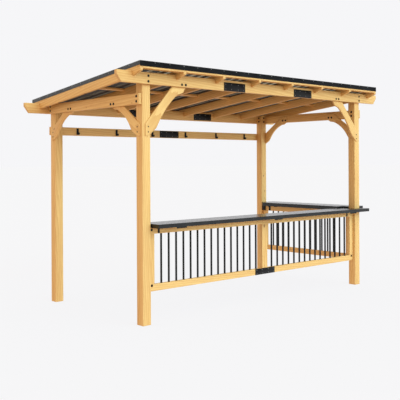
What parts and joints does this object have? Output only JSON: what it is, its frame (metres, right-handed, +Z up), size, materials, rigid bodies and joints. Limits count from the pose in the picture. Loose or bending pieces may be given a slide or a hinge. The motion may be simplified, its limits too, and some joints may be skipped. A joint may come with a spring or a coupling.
{
  "type": "hardtop grill gazebo",
  "caption": "Timber grill shelter with a ribbed steel roof on knee-braced posts, steel counters on the front and right railings, and a hook bar at the back.",
  "frame": {"origin": "on the ground under the middle of the four posts, which is the middle of the whole object's box", "axes": "+X along the front from left to right, +Y from front to back, +Z up"},
  "size_m": [3.844, 1.9106, 2.3515],
  "materials": {
    "cedar": "planed, light honey stain",
    "black_steel": "satin powder coat",
    "counter_steel": "satin powder coat",
    "roof_steel": "dark grey, slightly glossy"
  },
  "bodies": {
    "root": {"back_beam_left": "cedar", "back_beam_middle": "cedar", "back_beam_plate_left": "black_steel", "back_beam_plate_right": "black_steel", "back_beam_right": "cedar", "brace_front_left": "cedar", "brace_front_right": "cedar", "brace_left_back": "cedar", "brace_left_front": "cedar", "brace_right_back": "cedar", "brace_right_front": "cedar", "front_beam_left": "cedar", "front_beam_middle": "cedar", "front_beam_plate_left": "black_steel", "front_beam_plate_right": "black_steel", "front_beam_right": "cedar", "front_counter": "counter_steel", "hook_1": "black_steel", "hook_2": "black_steel", "hook_3": "black_steel", "hook_4": "black_steel", "hook_5": "black_steel", "hook_6": "black_steel", "hook_bar_left": "cedar", "hook_bar_plate": "black_steel", "hook_bar_right": "cedar", "post_back_left": "cedar", "post_back_right": "cedar", "post_front_left": "cedar", "post_front_right": "cedar", "purlin_1": "cedar", "purlin_2": "cedar", "purlin_3": "cedar", "rafter_1": "cedar", "rafter_2": "cedar", "rafter_3": "cedar", "rafter_4": "cedar", "rafter_5": "cedar", "rafter_6": "cedar", "rafter_7": "cedar", "rafter_8": "cedar", "rail_plate": "black_steel", "railing_front_left": "cedar", "railing_front_right": "cedar", "railing_right": "cedar", "roof_panel_1": "roof_steel", "roof_panel_2": "roof_steel", "roof_panel_3": "roof_steel", "roof_trim_back": "roof_steel", "roof_trim_front": "roof_steel", "roof_trim_left": "roof_steel", "roof_trim_right": "roof_steel", "side_beam_left": "cedar", "side_beam_right": "cedar", "side_counter": "counter_steel"}
  },
  "joints": []
}
